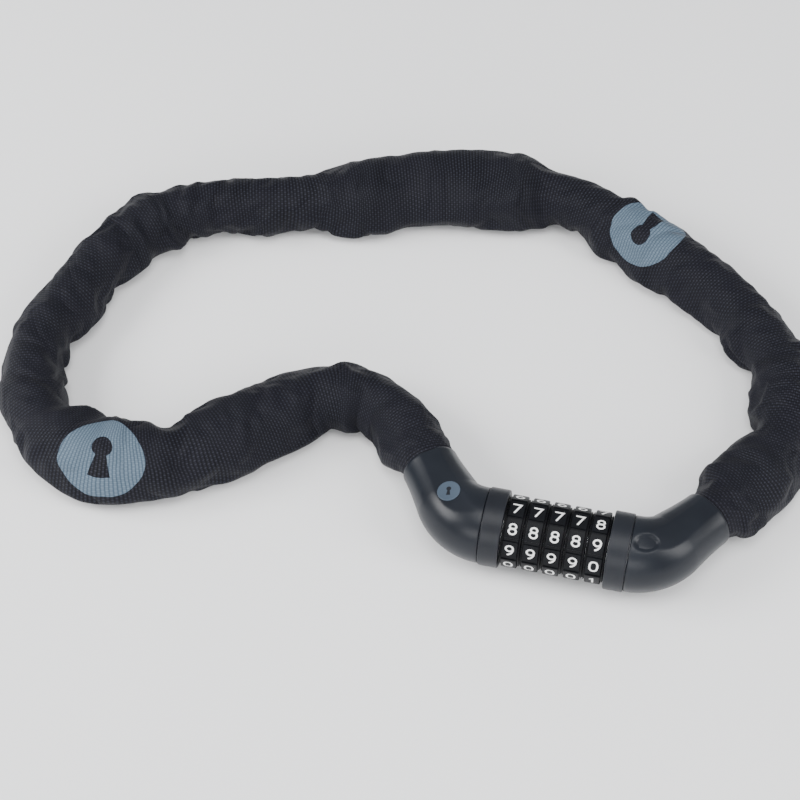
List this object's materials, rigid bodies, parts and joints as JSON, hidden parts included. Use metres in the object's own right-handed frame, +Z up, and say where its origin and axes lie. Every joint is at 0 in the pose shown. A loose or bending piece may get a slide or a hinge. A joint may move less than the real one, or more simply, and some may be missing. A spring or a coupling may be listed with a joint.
{
  "type": "combination chain lock",
  "caption": "Combination chain lock lying as a closed loop: number wheels between two curved elbows, a push-in bolt, and a steel chain in a woven sleeve.",
  "frame": {"origin": "on the table, under the middle of the whole loop's box", "axes": "+X along the lock's axis, towards the plug that pulls out; +Y from the lock across the loop; +Z up"},
  "size_m": [0.3518, 0.2205, 0.032],
  "materials": {
    "elbow_plastic": "satin moulded",
    "collar_plastic": "satin moulded",
    "wheel_plastic": "semi-gloss moulded",
    "badge": "printed, satin",
    "cast_steel": "cast and machined",
    "barrel_steel": "turned",
    "pin_steel": "ground",
    "spring_steel": "stamped",
    "ring_brass": "turned",
    "chain_steel": "zinc plated",
    "woven_sleeve": "woven nylon"
  },
  "bodies": {
    "lock_body": {"body_elbow_shell": "elbow_plastic", "body_collar": "collar_plastic", "body_core": "cast_steel", "body_badge": "badge", "barrel": "barrel_steel", "barrel_pin": "pin_steel", "retaining_ring": "spring_steel", "wave_washer": "spring_steel", "click_spring": "spring_steel", "body_chain_pin": "pin_steel", "sleeve": "woven_sleeve", "chain_link_01": "chain_steel", "chain_link_02": "chain_steel", "chain_link_03": "chain_steel", "chain_link_04": "chain_steel", "chain_link_05": "chain_steel", "chain_link_06": "chain_steel", "chain_link_07": "chain_steel", "chain_link_08": "chain_steel", "chain_link_09": "chain_steel", "chain_link_10": "chain_steel", "chain_link_11": "chain_steel", "chain_link_12": "chain_steel", "chain_link_13": "chain_steel", "chain_link_14": "chain_steel", "chain_link_15": "chain_steel", "chain_link_16": "chain_steel", "chain_link_17": "chain_steel", "chain_link_18": "chain_steel", "chain_link_19": "chain_steel", "chain_link_20": "chain_steel", "chain_link_21": "chain_steel", "chain_link_22": "chain_steel", "chain_link_23": "chain_steel", "chain_link_24": "chain_steel", "chain_link_25": "chain_steel", "chain_link_26": "chain_steel", "chain_link_27": "chain_steel", "chain_link_28": "chain_steel", "chain_link_29": "chain_steel", "chain_link_30": "chain_steel"},
    "plug": {"plug_elbow_shell": "elbow_plastic", "plug_collar": "collar_plastic", "plug_core": "cast_steel", "lock_bolt": "barrel_steel", "bolt_pin": "pin_steel", "plug_chain_pin": "pin_steel", "chain_link_31": "chain_steel"},
    "wheel_1": {"number_wheel_1": "wheel_plastic", "code_ring_1": "ring_brass"},
    "wheel_2": {"number_wheel_2": "wheel_plastic", "code_ring_2": "ring_brass"},
    "wheel_3": {"number_wheel_3": "wheel_plastic", "code_ring_3": "ring_brass"},
    "wheel_4": {"number_wheel_4": "wheel_plastic", "code_ring_4": "ring_brass"},
    "wheel_5": {"number_wheel_5": "wheel_plastic", "code_ring_5": "ring_brass"}
  },
  "joints": [
    {"name": "wheel_1_spin", "type": "hinge", "parent": "lock_body", "child": "wheel_1", "pos_m": [0.0603, -0.0937, 0.016], "axis": [1, 0, 0], "continuous": true},
    {"name": "wheel_2_spin", "type": "hinge", "parent": "lock_body", "child": "wheel_2", "pos_m": [0.0688, -0.0937, 0.016], "axis": [1, 0, 0], "continuous": true},
    {"name": "wheel_3_spin", "type": "hinge", "parent": "lock_body", "child": "wheel_3", "pos_m": [0.0773, -0.0937, 0.016], "axis": [1, 0, 0], "continuous": true},
    {"name": "wheel_4_spin", "type": "hinge", "parent": "lock_body", "child": "wheel_4", "pos_m": [0.0858, -0.0937, 0.016], "axis": [1, 0, 0], "continuous": true},
    {"name": "wheel_5_spin", "type": "hinge", "parent": "lock_body", "child": "wheel_5", "pos_m": [0.0943, -0.0937, 0.016], "axis": [1, 0, 0], "continuous": true},
    {"name": "plug_slide", "type": "slide", "parent": "lock_body", "child": "plug", "axis": [1, 0, 0], "range_m": [0, 0.05], "deforming": ["sleeve", "chain_link_24", "chain_link_25", "chain_link_26", "chain_link_27", "chain_link_28", "chain_link_29", "chain_link_30"]}
  ]
}
